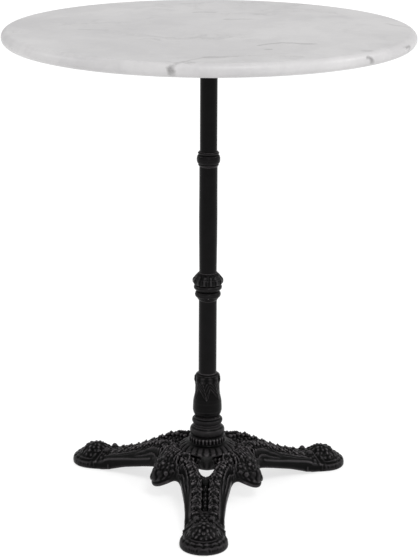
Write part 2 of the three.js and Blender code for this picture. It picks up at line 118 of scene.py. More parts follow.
def noise(tree, place, scale, detail, roughness=0.5):
    """The outputs of a noise texture, whose Fac and Color are both used."""
    links = {"Vector": place, "Scale": scale, "Detail": detail, "Roughness": roughness}
    return add_node(tree, "ShaderNodeTexNoise", links).outputs


def calculate(tree, operation, *inputs):
    return add_node(tree, "ShaderNodeMath", dict(enumerate(inputs)), operation=operation).outputs[0]


def calculate_vector(tree, operation, *inputs, output="Vector"):
    node = add_node(tree, "ShaderNodeVectorMath", dict(enumerate(inputs)), operation=operation)
    return node.outputs[output]


def scale_vector(tree, vector, factor):
    links = {0: vector, "Scale": factor}
    return add_node(tree, "ShaderNodeVectorMath", links, operation="SCALE").outputs["Vector"]


def map_range(tree, value, low, high, new_low, new_high):
    links = {0: value, 1: low, 2: high, 3: new_low, 4: new_high}
    return add_node(tree, "ShaderNodeMapRange", links).outputs[0]


def mix_colors(tree, factor, first, second, blend="MIX"):
    links = {0: factor, 6: first, 7: second}
    return add_node(tree, "ShaderNodeMix", links, data_type="RGBA", blend_type=blend).outputs[2]


def ramp(tree, factor, stops):
    node = tree.nodes.new("ShaderNodeValToRGB")
    elements = node.color_ramp.elements
    while len(elements) < len(stops):
        elements.new(0.5)
    for element, (position, color) in zip(elements, stops):
        element.position = position
        element.color = (*color, 1)
    tree.links.new(factor, node.inputs["Fac"])
    return node.outputs["Color"]


def grey(value):
    return (value, value, value)


def bump(tree, shader, height, strength, distance):
    node = add_node(tree, "ShaderNodeBump", {"Height": height, "Strength": strength, "Distance": distance})
    tree.links.new(node.outputs["Normal"], shader.inputs["Normal"])


def set_inputs(node, **values):
    """Set inputs whose names are these words, such as base_color for Base Color."""
    for name, value in values.items():
        node.inputs[name.replace("_", " ").title().replace("Ior", "IOR")].default_value = value


# ---------- materials ----------
# Single veins in the marble in metres: both ends, half width and depth of grey
STREAKS = [
    ((-0.045, -0.298, 0.718), (-0.040, -0.300, 0.704), 0.008, 0.9),
    ((-0.040, -0.298, 0.720), (-0.003, -0.252, 0.720), 0.004, 0.3),
    ((-0.003, -0.250, 0.720), (0.025, -0.247, 0.720), 0.005, 0.5),
    ((0.025, -0.247, 0.720), (0.055, -0.236, 0.720), 0.004, 0.35),
    ((0.055, -0.235, 0.720), (0.110, -0.215, 0.720), 0.004, 0.12),
    ((0.070, -0.152, 0.720), (0.100, -0.126, 0.720), 0.005, 0.5),
    ((0.100, -0.126, 0.720), (0.145, -0.135, 0.720), 0.005, 0.5),
    ((0.080, -0.186, 0.720), (0.085, -0.184, 0.720), 0.006, 0.55),
    ((0.212, -0.190, 0.720), (0.222, -0.186, 0.720), 0.005, 0.35),
    ((0.217, -0.207, 0.714), (0.228, -0.195, 0.702), 0.005, 0.7),
    ((0.271, -0.130, 0.717), (0.282, -0.105, 0.712), 0.004, 0.55),
    ((0.282, -0.105, 0.712), (0.279, -0.112, 0.702), 0.004, 0.45),
    ((0.262, 0.050, 0.720), (0.290, 0.018, 0.720), 0.006, 0.25),
    ((-0.025, 0.150, 0.720), (0.005, 0.155, 0.720), 0.006, 0.4),
    ((0.021, 0.083, 0.720), (0.060, 0.088, 0.720), 0.006, 0.35),
    ((-0.185, -0.025, 0.720), (-0.145, -0.028, 0.720), 0.006, 0.2),
]


def streak(tree, place, start, end, width, depth):
    """How dark one straight vein is at a place: its depth along the line, fading to nought at its width."""
    line = Vector(end) - Vector(start)
    direction = line.normalized()
    from_start = calculate_vector(tree, "SUBTRACT", place, start)
    along = calculate_vector(tree, "DOT_PRODUCT", from_start, direction, output="Value")
    along = map_range(tree, along, 0.0, line.length, 0.0, line.length)
    nearest = scale_vector(tree, direction, along)
    gap = calculate_vector(tree, "DISTANCE", from_start, nearest, output="Value")
    return map_range(tree, gap, 0.2 * width, width, depth, 0.0)


def shaken(tree, place, scale, roughness, reach):
    """Places moved about by noise, by up to about half the reach."""
    noisy = noise(tree, place, scale, 6.0, roughness)["Color"]
    push = calculate_vector(tree, "SUBTRACT", noisy, (0.5, 0.5, 0.5))
    return calculate_vector(tree, "ADD", place, scale_vector(tree, push, reach))


def marble_material():
    """White marble with clouds, long faint veins and a few short dark streaks."""
    material, tree, shader = new_material("white_marble")
    place = object_place(tree)
    bent = shaken(tree, place, 3.0, 0.6, 0.55)
    clouds = noise(tree, bent, 4.0, 8.0, 0.65)["Fac"]
    base = ramp(tree, clouds, [(0.38, (0.497, 0.489, 0.494)), (0.6, (0.585, 0.576, 0.578))])
    stretching = {"Vector": bent, "Rotation": (0, 0, 0.35), "Scale": (1.0, 2.6, 1.0)}
    stretched = add_node(tree, "ShaderNodeMapping", stretching).outputs[0]
    veins = noise(tree, stretched, 2.6, 5.0, 0.55)["Fac"]
    off_vein = calculate(tree, "ABSOLUTE", calculate(tree, "SUBTRACT", veins, 0.52))
    line = ramp(tree, off_vein, [(0.0, grey(0.4)), (0.006, grey(0.2)), (0.03, grey(0))])
    where = ramp(tree, noise(tree, place, 6.5, 3.0)["Fac"], [(0.48, grey(0)), (0.62, grey(1))])
    veined = mix_colors(tree, calculate(tree, "MULTIPLY", line, where), base, (0.30, 0.295, 0.295, 1))
    ragged = shaken(tree, place, 38.0, 0.65, 0.02)
    dark = 0.0
    for start, end, width, depth in STREAKS:
        dark = calculate(tree, "MAXIMUM", dark, streak(tree, ragged, start, end, width, depth))
    streaked = mix_colors(tree, dark, veined, (0.16, 0.155, 0.155, 1))
    tree.links.new(streaked, shader.inputs["Base Color"])
    set_inputs(shader, roughness=0.4, ior=1.5, specular_ior_level=0.35)
    bump(tree, shader, noise(tree, place, 220.0, 3.0)["Fac"], 0.03, 0.0005)
    return material


def iron_material():
    """Satin black paint over cast iron: a fine sand-cast skin, with painted shade in its hollows and ridges
    lighter from wear and painted highlight.
    """
    material, tree, shader = new_material("black_iron")
    place = object_place(tree)
    skin = noise(tree, place, 420.0, 4.0, 0.7)["Fac"]
    lumps = noise(tree, place, 60.0, 3.0)["Fac"]
    ridges = add_node(tree, "ShaderNodeNewGeometry").outputs["Pointiness"]
    # Colour by pointiness: painted shade darkens the hollows, and the ridges are lighter, partly from wear and
    # partly from painted highlight.
    hollow, flat = (0.46, grey(0.0001)), (0.5, grey(0.0012))
    edge, wear_and_highlight_edge = (0.54, (0.04, 0.037, 0.039)), (0.6, (0.14, 0.129, 0.134))
    wear_and_painted_light = ramp(tree, ridges, [hollow, flat, edge, wear_and_highlight_edge])
    tint = ramp(tree, lumps, [(0.35, grey(0.75)), (0.65, grey(1.0))])
    tree.links.new(mix_colors(tree, 1.0, wear_and_painted_light, tint, "MULTIPLY"), shader.inputs["Base Color"])
    tree.links.new(map_range(tree, lumps, 0.0, 1.0, 0.25, 0.36), shader.inputs["Roughness"])
    set_inputs(shader, specular_ior_level=0.06)
    bump(tree, shader, calculate(tree, "ADD", skin, lumps), 0.12, 0.0008)
    return material


def plated_material(name, color, roughness):
    """Bright plated or bare metal with fine turning marks round Z and small stains."""
    material, tree, shader = new_material(name)
    place = object_place(tree)
    stretched = add_node(tree, "ShaderNodeMapping", {"Vector": place, "Scale": (20, 20, 900)}).outputs[0]
    marks = noise(tree, stretched, 1.0, 2.0)["Fac"]
    stains = noise(tree, place, 240.0, 4.0)["Fac"]
    dark = tuple(0.72 * channel for channel in color)
    tree.links.new(ramp(tree, stains, [(0.35, dark), (0.6, color)]), shader.inputs["Base Color"])
    rough = map_range(tree, marks, 0.0, 1.0, roughness - 0.06, roughness + 0.08)
    tree.links.new(rough, shader.inputs["Roughness"])
    set_inputs(shader, metallic=1.0)
    bump(tree, shader, marks, 0.1, 0.0003)
    return material


def moulded_material(name, color, roughness):
    """Dull black rubber or nylon with a fine moulded grain."""
    material, tree, shader = new_material(name)
    place = object_place(tree)
    grain = noise(tree, place, 900.0, 3.0)["Fac"]
    dust = noise(tree, place, 90.0, 4.0)["Fac"]
    light = tuple(1.9 * channel for channel in color)
    tree.links.new(ramp(tree, dust, [(0.4, color), (0.75, light)]), shader.inputs["Base Color"])
    rough = map_range(tree, dust, 0.0, 1.0, roughness - 0.08, roughness + 0.08)
    tree.links.new(rough, shader.inputs["Roughness"])
    bump(tree, shader, grain, 0.15, 0.0003)
    return material


def floor_material():
    """A grey floor that glows faintly, so that it comes out white and its shadows all but vanish."""
    material, tree, shader = new_material("studio_floor")
    patches = noise(tree, object_place(tree), 1.5, 2.0)["Fac"]
    color = ramp(tree, patches, [(0.3, grey(0.34)), (0.7, grey(0.36))])
    tree.links.new(color, shader.inputs["Base Color"])
    tree.links.new(color, shader.inputs["Emission Color"])
    set_inputs(shader, emission_strength=2.05, roughness=0.9, specular_ior_level=0.1)
    return material


# ---------- mesh helpers ----------
def make_piece(name, points, faces, material, node):
    """A smooth-shaded piece from points in millimetres that stands for one CAD node."""
    mesh = bpy.data.meshes.new(name)
    mesh.from_pydata((np.asarray(points) * MM).tolist(), [], [list(map(int, face)) for face in faces])
    mesh.validate()
    mesh.polygons.foreach_set("use_smooth", [True] * len(mesh.polygons))
    mesh.set_sharp_from_angle(angle=SHARP)
    mesh.materials.append(material)
    piece = add_object(name, mesh)
    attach(piece, BODY)
    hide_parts(node)
    return piece


def ring_faces(rows, columns, closed_rows):
    """Quads of a grid whose columns run round and whose rows may close on themselves."""
    last = rows if closed_rows else rows - 1
    row, column = np.meshgrid(np.arange(last), np.arange(columns), indexing="ij")
    here, above = row * columns, (row + 1) % rows * columns
    beside = (column + 1) % columns
    return np.stack([here + column, here + beside, above + beside, above + column], -1).reshape(-1, 4)


def smooth_outline(points, step):
    """The polyline resampled evenly, close enough to keep its crisp corners."""
    points = np.asarray(points, float)
    lengths = np.hypot(*np.diff(points, axis=0).T)
    at = np.concatenate([[0], np.cumsum(lengths)])
    count = max(2, int(at[-1] / step))
    even = np.linspace(0, at[-1], count)
    even = np.unique(np.concatenate([even, at]))
    return np.stack([np.interp(even, at, column) for column in points.T], 1)


def heights_of(node):
    """The lowest and highest point of a CAD node at rest, in millimetres."""
    return [round(corner.z / MM, 2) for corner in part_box(node)]


def turned_piece(name, outline, inside, node, material, relief=None, columns=128):
    """A ring turned round Z: the outline up the outside carries the relief, the inside runs down the bore."""
    outer = smooth_outline(outline, 0.7)
    loop = np.concatenate([outer, np.asarray(inside, float)])
    angle = np.linspace(0, 2 * np.pi, columns, endpoint=False)
    radius = np.repeat(loop[:, :1], columns, 1)
    z = np.repeat(loop[:, 1:], columns, 1)
    if relief:
        grow = relief(angle[None, :], z)
        grow[len(outer) :] = 0
        radius = radius + grow
    bottom = heights_of(node)[0]
    points = np.stack([radius * np.cos(angle), radius * np.sin(angle), bottom + z], -1).reshape(-1, 3)
    faces = ring_faces(len(loop), columns, True)
    return make_piece(name, points, faces, material, node)


def roll(root, full, middle, half, count=9):
    """Points up a rounded moulding."""
    angle = np.linspace(-np.pi / 2, np.pi / 2, count)
    return list(zip(root + (full - root) * np.cos(angle), middle + half * np.sin(angle)))


# ---------- distance-field helpers ----------
def smooth_min(first, second, blend):
    """The smaller of two distances, rounded over where they differ by less than the blend."""
    share = np.clip(0.5 + 0.5 * (second - first) / blend, 0, 1)
    return second + (first - second) * share - blend * share * (1 - share)


def smooth_max(first, second, blend):
    return -smooth_min(-first, -second, blend)


def ease(x, low, high):
    """A smooth step from nought at low to one at high."""
    rise = np.clip((x - low) / (high - low), 0, 1)
    return rise * rise * (3 - 2 * rise)


def window(x, low, high, soft):
    """One between low and high, nought outside, with soft sides."""
    return ease(x, low - soft, low + soft) * (1 - ease(x, high - soft, high + soft))


def mix(first, second, share):
    return first + (second - first) * share


def ball(radius, *offsets):
    return np.sqrt(sum(offset * offset for offset in offsets)) - radius


def ridge(x, width):
    return np.exp(-((x / width) ** 2))


def curve(points, soft=8):
    """A smooth function of distance through roughly these points."""
    x = np.arange(0, 301.0)
    y = np.interp(x, *zip(*points))
    kernel = np.hanning(2 * soft + 1)
    y = np.convolve(np.pad(y, soft, mode="edge"), kernel / kernel.sum(), "valid")
    return lambda at: np.interp(at, x, y)


def grid_values(distance, low, shape, step, block, reach):
    """Distances on a grid, worked out only in the blocks that lie near the surface."""
    blocks = [(size - 1) // block for size in shape]
    centres = [low[i] + (np.arange(blocks[i]) + 0.5) * step * block for i in range(3)]
    places = np.meshgrid(*centres, indexing="ij")
    coarse = distance(*(place.ravel() for place in places), False).reshape(blocks)
    values = np.where(coarse < 0, -reach, reach).astype(np.float32)
    for axis in range(3):
        values = np.repeat(values, block, axis)
    values = np.pad(values, ((0, 1),) * 3, constant_values=reach)
    corners = np.stack(np.meshgrid(*(np.arange(block + 1),) * 3, indexing="ij"), -1).reshape(-1, 3)
    near = np.argwhere(np.abs(coarse) < reach)
    for chunk in np.array_split(near, max(1, len(near) // 6000)):
        index = (chunk[:, None, :] * block + corners[None]).reshape(-1, 3)
        index = np.unravel_index(np.unique(np.ravel_multi_index(index.T, values.shape)), values.shape)
        values[index] = distance(*(low[i] + index[i] * step for i in range(3)), True)
    return values


def sum_crossings(values, cells):
    """Sum and count of the places where the surface crosses each cell's edges, in grid steps."""
    total = np.zeros((len(cells), 3))
    count = np.zeros(len(cells))
    for axis in range(3):
        first, second = (i for i in range(3) if i != axis)
        for first_step, second_step in np.ndindex(2, 2):
            start = cells.copy()
            start[:, first] += first_step
            start[:, second] += second_step
            end = start.copy()
            end[:, axis] += 1
            here, there = values[tuple(start.T)], values[tuple(end.T)]
            crossed = (here < 0) != (there < 0)
            point = start[crossed].astype(float)
            point[:, axis] += here[crossed] / (here[crossed] - there[crossed])
            total[crossed] += point
            count[crossed] += 1
    return total, count


def quads_round_edges(inside, number, axis):
    """A quad round every grid edge along the axis that the surface crosses, facing outwards."""
    second, third = (axis + 1) % 3, (axis + 2) % 3
    before = tuple(slice(0, -1) if i == axis else slice(None) for i in range(3))
    after = tuple(slice(1, None) if i == axis else slice(None) for i in range(3))
    edges = np.argwhere(inside[before] != inside[after])
    keep = (edges[:, second] > 0) & (edges[:, third] > 0)
    keep &= (edges[:, second] < number.shape[second]) & (edges[:, third] < number.shape[third])
    edges = edges[keep]
    corners = []
    for second_step, third_step in ((0, 0), (-1, 0), (-1, -1), (0, -1)):
        cell = edges.copy()
        cell[:, second] += second_step
        cell[:, third] += third_step
        corners.append(number[tuple(cell.T)])
    quads = np.stack(corners, 1)
    inward = ~inside[before][tuple(edges.T)]
    quads[inward] = quads[inward][:, ::-1]
    return quads


def surface_nets(distance, low, high, step, block=4, reach=9.0):
    """Points and quads of the surface where the distance is nought, one point to a grid cell."""
    low = np.array(low, float)
    shape = np.ceil((np.array(high, float) - low) / (step * block)).astype(int) * block + 1
    values = grid_values(distance, low, shape, step, block, reach)
    inside = values < 0
    filled = np.zeros(np.array(values.shape) - 1, np.uint8)
    for offset in np.ndindex(2, 2, 2):
        filled += inside[tuple(slice(start, size - 1 + start) for start, size in zip(offset, inside.shape))]
    cells = np.argwhere((filled > 0) & (filled < 8))
    number = np.full(filled.shape, -1, np.int32)
    number[tuple(cells.T)] = np.arange(len(cells))
    total, count = sum_crossings(values, cells)
    points = low + step * total / count[:, None]
    return points, np.concatenate([quads_round_edges(inside, number, axis) for axis in range(3)])


# ---------- bores that several pieces share ----------
ROD_HOLE = 5.6  # radius round the tie rod
UPPER_SOCKET, SOCKET = 13.15, 13.4  # radii round the ends of the upper tube and of the other tubes
NECK_BORE = 9.8  # radius round the centring spigots


# ---------- the base casting ----------
# Places are given by radius, the distance from the axis; along, how far out along the nearest
# leg; aside, how far from that leg's middle plane; from_lobe, the degrees from the middle of
# the nearest lobe; and z, the height. The three legs and lobes are alike, and so are their
# left and right sides.

# A leg's profiles against along: half its width, the heights of three edges, and where a crest runs
LEG_ALONG = (6, 30, 50, 68, 84, 100, 115, 135, 150, 165, 180, 192)
HALF_WIDTH = curve(list(zip(LEG_ALONG, (30, 35, 38.5, 39.5, 37.2, 34.4, 32, 30.4, 29.2, 28.8, 29.5, 30.5))))
UNDERSIDE = curve(list(zip(LEG_ALONG, (42, 41, 38, 34, 30.5, 26, 21.5, 16, 10.5, 5, 1.5, 1.5))))
LEDGE = curve(list(zip(LEG_ALONG, (56, 56, 53, 49, 44, 39, 34.5, 30, 26, 22.5, 17, 13))))
CREST = curve(list(zip(LEG_ALONG, (60, 66.5, 75.5, 73.5, 67.5, 59.5, 51, 41, 35, 30.5, 28, 27))))
CREST_OUT = curve(list(zip(LEG_ALONG, (24, 26, 26, 25, 20, 14.5, 12.5, 12.5, 12.5, 12.5, 12.5, 12.5))))
# Heights of the crown against radius, along the middle of a lobe and beside it
LOBE_HEIGHTS = [(20, 60), (42, 63), (47, 70), (52, 75.5), (58, 75), (68, 70), (80, 63)]
LOBE_HEIGHTS += [(88, 56.5), (94, 47), (98, 36), (104, 0)]
LOBE_TOP = curve(LOBE_HEIGHTS, 3)
SIDE_HEIGHTS = [(20, 60), (42, 63), (47, 70), (52, 75), (57, 73), (66, 68), (74, 57)]
SIDE_HEIGHTS += [(79, 44), (84, 28), (92, -5), (110, -60)]
SIDE_TOP = curve(SIDE_HEIGHTS, 3)
# Depth of the trough between a leg's two crests, against along
TROUGH_DEPTHS = [(24, 2), (34, 5), (45, 19), (54, 21), (70, 14), (86, 6), (102, 3.2), (158, 3.2), (166, 0)]
TROUGH = curve(TROUGH_DEPTHS, 3)
# How far out the crown reaches and how low it hangs, at the lobes and in the valance between them
LOBE_REACH, LOBE_TIP, LOBE_CURL = 98, 23, 5
VALANCE_REACH, VALANCE_EDGE = 78, 37
LOBE_HALF_ANGLE = 24
FOOT_ALONG, FOOT_RADIUS, FLOOR_GAP = 211.0, 35.6, 1.2
# The foot's steps: heights against the distance from its middle
PLINTH_RADII = (0, 21, 23, 24.5, 26, 27.5, 29, 30.5, 33.8, 35.2, 35.6)
PLINTH_HEIGHTS = (17, 17, 18, 17.5, 15.2, 16, 15.4, 12.6, 11.4, 9.6, 6)
BUD_ALONG, BUD_RADIUS = 207.5, 24.8
# Rings of leaf tips on the bud: how many, degrees from its top, and their size
BUD_RINGS = ((7, 18, 2.8), (12, 33, 2.8), (16, 48, 2.7), (20, 63, 2.6), (22, 76, 2.4))
BASE_TOP, BOSS_BOTTOM = 107.5, 37.6
# The hub's outline from the bottom up, as radius and height
HUB_OUTLINE = [(19, 37.5), (21.5, 41), (23.4, 48), (26.5, 55), (29.5, 60), (33, 64), (38, 67), (42, 69.2)]
HUB_OUTLINE += [(42.3, 71), (40.8, 73.4), (37.8, 76), (34.2, 78.2), (31, 79.6), (28, 80.6), (26.9, 82)]
HUB_OUTLINE += [(26.7, 86), (27.2, 90), (26.9, 91), (25.4, 91.8), (25.6, 93), (26.4, 96), (26.8, 99.5)]
HUB_OUTLINE += [(26.3, 102.4), (25.2, 104.2), (23.2, 105.4), (22.3, 107.5)]
HUB_RADII, HUB_HEIGHTS = zip(*HUB_OUTLINE)
UPPER_FLUTES, GADROONS, BOSS_RIBS = 30, 24, 18
# The long slot in a leg's top, and the opening between the hub and the leg
SLOT_START, SLOT_END, SLOT_HALF, SLOT_DEPTH = 98.5, 160, 5.0, 9
OPENING_HALF, OPENING_START, OPENING_END = 11.5, 55, 92
LEAF_PITCH, LEAF_FIRST = 7.0, 50.0  # along the crests, where every second leaf is a big one
SCROLL_ALONG, SCROLL_ASIDE = 55, 36.5
CLUSTER_START = 163
# Knobs on a lobe, as distance along it, aside from its middle, height and radius
LOBE_KNOBS = [(80.2, 17, 47.3, 4.2), (80.5, 7.6, 60.2, 2.8), (89.5, 0, 49.5, 3.2)]
LOBE_KNOBS += [(74, 0, 65.8, 3.4), (66, 9, 69.8, 2.7)]
# Pits beside the knobs, given the same way
LOBE_PITS = [(76, 20, 56, 3.6), (87.5, 10, 52.5, 3.0), (82.5, 0, 62.0, 2.6)]
LOBE_PITS += [(90, 16, 39, 3.0), (77.5, 12, 64, 2.4)]


def mottle(x, y, z):
    """Uneven lumps some six millimetres apart, from -1 to 1."""
    first = np.sin(0.93 * x + 1.6 * np.sin(0.41 * y) + 0.5)
    first = first * np.sin(1.02 * y + 1.4 * np.sin(0.37 * z + 1) + 1.1)
    second = np.sin(0.71 * y - 0.64 * x + 1.2 * np.sin(0.53 * z)) * np.sin(0.8 * z + 0.6 * x + 2.0)
    return np.clip(0.8 * (first + second), -1, 1)


def lobes_of(phase):
    """Rounded swellings with sharp valleys between them, from -1 to 1, one to a unit of phase."""
    return 2 * np.abs(np.sin(np.pi * phase)) ** 0.8 - 1


def depth_in_trough(along, aside):
    """Nought on a leg's crest, rising to one at the bottom of the trough between the crests."""
    crest_out = CREST_OUT(along)
    bottom = mix(11, SLOT_HALF, ease(along, 85, 100))
    inner = np.clip((crest_out - 1 - aside) / np.maximum(crest_out - 1 - bottom, 1), 0, 1)
    return inner ** mix(0.5, 1, ease(along, 78, 98))


def leg_height(along, aside, trough):
    """Height of a leg's top: flanks that fall to a ledge, swelling crests and a slot with a rib in it."""
    width, crest_out = HALF_WIDTH(along), CREST_OUT(along)
    down_flank = np.clip((aside - crest_out - 2) / np.maximum(width - crest_out - 3, 1), 0, 1)
    flank = mix(CREST(along) - 1, LEDGE(along), down_flank**0.8 * (1 - 0.1 * np.sin(np.pi * down_flank)))
    slot = SLOT_DEPTH * (1 - ease(aside, SLOT_HALF - 1.3, SLOT_HALF + 1.3))
    slot = slot * window(along, SLOT_START, SLOT_END, 1.5)
    rib = 1.6 * ridge(aside, 1.5) * window(along, SLOT_START, SLOT_END, 2)
    swelling = 1.7 * np.cos(np.pi * (along - LEAF_FIRST - 3) / LEAF_PITCH) * ridge(aside - crest_out, 5)
    swelling = (swelling + 1.3) * window(along, 66, 172, 6)
    return flank - trough - slot + rib + swelling


def ledge_bead(along, aside, z):
    """A thin bead along the ledge at the foot of each flank, as a distance."""
    bead = np.hypot(aside - (HALF_WIDTH(along) - 1.2), z - LEDGE(along)) - 1.9
    return smooth_max(bead, np.maximum(80 - along, along - 176), 3)


def casting_hollow(along, aside, radius, z, reach, leg_top, crown_top):
    """The hollow under the legs and the crown, as a distance."""
    leg_roof = np.minimum(mix(CREST(along) - 16.5, LEDGE(along) - 6, ease(aside, 8, 24)), leg_top - 6)
    leg_hollow = smooth_max(z - leg_roof, aside - (HALF_WIDTH(along) - 6.5), 3)
    leg_hollow = smooth_max(leg_hollow, along - 164, 3)
    crown_roof = crown_top - 11 - 4 * ease(radius, 60, 90)
    crown_hollow = smooth_max(z - crown_roof, radius - (reach - 7), 3)
    return smooth_min(leg_hollow, crown_hollow, 4)


def hub_opening(along, aside):
    """The opening between the hub and a leg, which narrows to a rounded end, as a distance."""
    past = np.clip((along - OPENING_START) / (OPENING_END - OPENING_START), 0, 1)
    half = OPENING_HALF * (1 - past**2.2) ** (1 / 2.2) + 0.01
    return np.maximum(aside - half, along - OPENING_END)


def leg_and_crown(along, aside, radius, z, from_lobe, fine):
    """The three legs and the leaf-lobed crown between them, hollow underneath."""
    lobe = (1 + np.cos(np.pi * np.minimum(1, from_lobe / LOBE_HALF_ANGLE))) / 2
    reach = mix(VALANCE_REACH, LOBE_REACH, lobe)
    edge = mix(VALANCE_EDGE, LOBE_TIP, lobe)
    in_trough = depth_in_trough(along, aside)
    trough = TROUGH(along) * in_trough
    leg_top = leg_height(along, aside, trough)
    beside_leg = np.maximum(aside - HALF_WIDTH(along), along - 200)
    leg = smooth_max((z - leg_top) * 0.75, beside_leg, 2)
    leg = smooth_max(leg, UNDERSIDE(along) - z, 2)
    crown_top = mix(SIDE_TOP(radius), LOBE_TOP(radius), lobe) - trough
    beyond_crown = (radius - reach) * 0.9
    curl = LOBE_CURL * lobe * (1 - ease(z, edge, edge + 14))
    crown = smooth_max((z - crown_top) * 0.72, beyond_crown + curl, 3)
    crown = smooth_max(crown, edge - z, 2)
    shell = smooth_min(crown, leg, 7)
    if fine:
        inwards = -smooth_min(beside_leg, beyond_crown, 16)
        shell = shell - crown_relief(radius, z, from_lobe, lobe, edge)
        shell = shell - leg_relief(along, aside, z, in_trough, lobe, inwards)
        shell = smooth_min(shell, ledge_bead(along, aside, z), 1.2)
    shell = smooth_max(shell, -casting_hollow(along, aside, radius, z, reach, leg_top, crown_top), 2)
    return smooth_max(shell, -hub_opening(along, aside), 2)


def crown_relief(radius, z, from_lobe, lobe, edge):
    """Height of the carving on the crown: feathers over the shoulders, and a plain rim round each lobe."""
    feather = 1.9 * lobes_of(from_lobe / 5.2) * window(radius, 45, 70, 3) * (1 - ease(from_lobe, 24, 31))
    feather = feather * ease(z, 50, 56) * (0.8 + 0.5 * mottle(radius, 0.8 * from_lobe, z))
    up = z - edge
    outer = ease(radius, 70, 76) * ease(lobe, 0.1, 0.4)
    rim = 1.8 * ridge(up - 2.2, 2.6) - 1.9 * ridge(up - 7.4, 1.7)
    veins = 1.4 * lobes_of(from_lobe / 4.6 + 0.25 * np.sin(up / 3)) * window(up, 9, 30, 3)
    return feather + (rim + veins) * outer


def leg_relief(along, aside, z, in_trough, lobe, inwards):
    """Height of the carving on a leg: long ridges, slanted leaves on both sides of a crest, and a scroll."""
    crest_out = CREST_OUT(along)
    off_lobe = 1 - ease(lobe, 0.2, 0.6)
    band = window(inwards, 1.2, 16, 1.5) * window(along, 54, 112, 14) * off_lobe
    ridges = 1.7 * np.cos(2 * np.pi * (inwards - 3) / 5) * band * ease(aside - crest_out, 5, 8)
    long_ridge = 2.6 * ridge(aside - crest_out - 9.2, 1.4) * window(along, 56, 172, 8) * off_lobe
    long_ridge += 1.9 * ridge(aside - crest_out - 13, 1.2) * window(along, 64, 118, 8) * off_lobe
    down = np.maximum(aside - crest_out, 0)
    outer_leaf = lobes_of((along - 1.15 * down - LEAF_FIRST) / LEAF_PITCH + 0.5)
    outer_leaf = 1.1 * outer_leaf * window(aside - crest_out, 0.5, 8, 1.2) * window(along, 60, 166, 8)
    up = np.maximum(crest_out - aside, 0)
    inner_leaf = lobes_of((along - 0.9 * up - LEAF_FIRST) / LEAF_PITCH + 0.5)
    inner_leaf = 1.3 * inner_leaf * window(in_trough, 0.12, 0.95, 0.1) * window(along, 48, 158, 4)
    past_scroll, beside_scroll = along - SCROLL_ALONG, aside - SCROLL_ASIDE
    from_scroll = np.hypot(past_scroll, beside_scroll)
    scroll = 1.9 * np.cos(2 * np.pi * from_scroll / 7 - np.arctan2(beside_scroll, past_scroll))
    scroll = scroll * (1 - ease(from_scroll, 12, 15)) * ease(z, 48, 54)
    collar = 1.6 * ridge(along - 182 - 0.25 * aside, 2.0) * ease(aside, 8, 12)
    on_top = ease(z, UNDERSIDE(along) + 8, UNDERSIDE(along) + 13)
    ribs = 1.1 * (ridge(along - 166, 1.6) + ridge(along - 193, 1.6))
    ribs = ribs * window(z, 5, 14, 2) * ease(aside, 26, 28)
    uneven = mottle(along, aside, z)
    leaves = (outer_leaf + inner_leaf) * (0.8 + 0.6 * uneven)
    lumps = 1.2 * uneven * np.maximum(1 - ease(aside - crest_out, 5, 9), 1 - ease(along, 60, 80))
    return (ridges + long_ridge + leaves + lumps + collar) * on_top + scroll + ribs


def leaf(along, aside, up, turn, length, width, height):
    """A level ellipsoid turned about its own middle, as a distance."""
    lengthways = along * np.cos(turn) + aside * np.sin(turn)
    crossways = aside * np.cos(turn) - along * np.sin(turn)
    bulk = np.sqrt((lengthways / length) ** 2 + (crossways / width) ** 2 + (up / height) ** 2)
    return (bulk - 1) * min(width, height)


def crest_leaves(along, aside, z):
    """Pairs of slanted leaves along each crest, every second pair higher, and a knob where the row ends."""
    whole = ball(4.6, along - 180.5, aside - 11.5, z - 28.8)
    for side, turn, drop in ((3.4, 0.9, 1.9), (-3.6, -0.9, 2.5)):
        lean = 0.85 * np.abs(aside - CREST_OUT(along))
        number = np.clip(np.round((along - lean - LEAF_FIRST) / LEAF_PITCH), 0, 16)
        at = LEAF_FIRST + LEAF_PITCH * number
        big = 1 - number % 2
        wobble = np.sin(2.7 * at + side)
        middle = at + 3.0 + 0.6 * wobble
        grown = ease(middle, 58, 74)
        height = CREST(middle) - drop - 2.5 * (1 - grown) + 0.5 * np.sin(4.3 * at) + 2.2 * big * grown
        bend = turn * (1 + 0.45 * wobble)
        beside = aside - CREST_OUT(middle) - side - 1.3 * np.sin(3.1 * at)
        whole = np.minimum(whole, leaf(along - middle, beside, z - height, bend, 4.4, 1.7, 2.4))
    return whole


def leaf_cluster(along, aside, z):
    """Small leaves packed over the leg's end, in staggered rows."""
    row_pitch, column_pitch = 6.4, 6.6
    row = np.clip(np.round((along - CLUSTER_START) / row_pitch), 0, 3)
    shift = column_pitch / 2 * (row % 2)
    column = np.clip(np.round((aside - shift) / column_pitch), 0, 3)
    row_at, column_at = CLUSTER_START + row * row_pitch, shift + column * column_pitch
    drop = np.interp(column_at, (0, 12.5, 20, 24), (0, 0.5, 4.5, 8))
    turn = 0.5 * np.sin(2.4 * row + 1.7 * column)
    return leaf(along - row_at, aside - column_at, z - CREST(row_at) + 2 + drop, turn, 4.2, 2.9, 3.2)


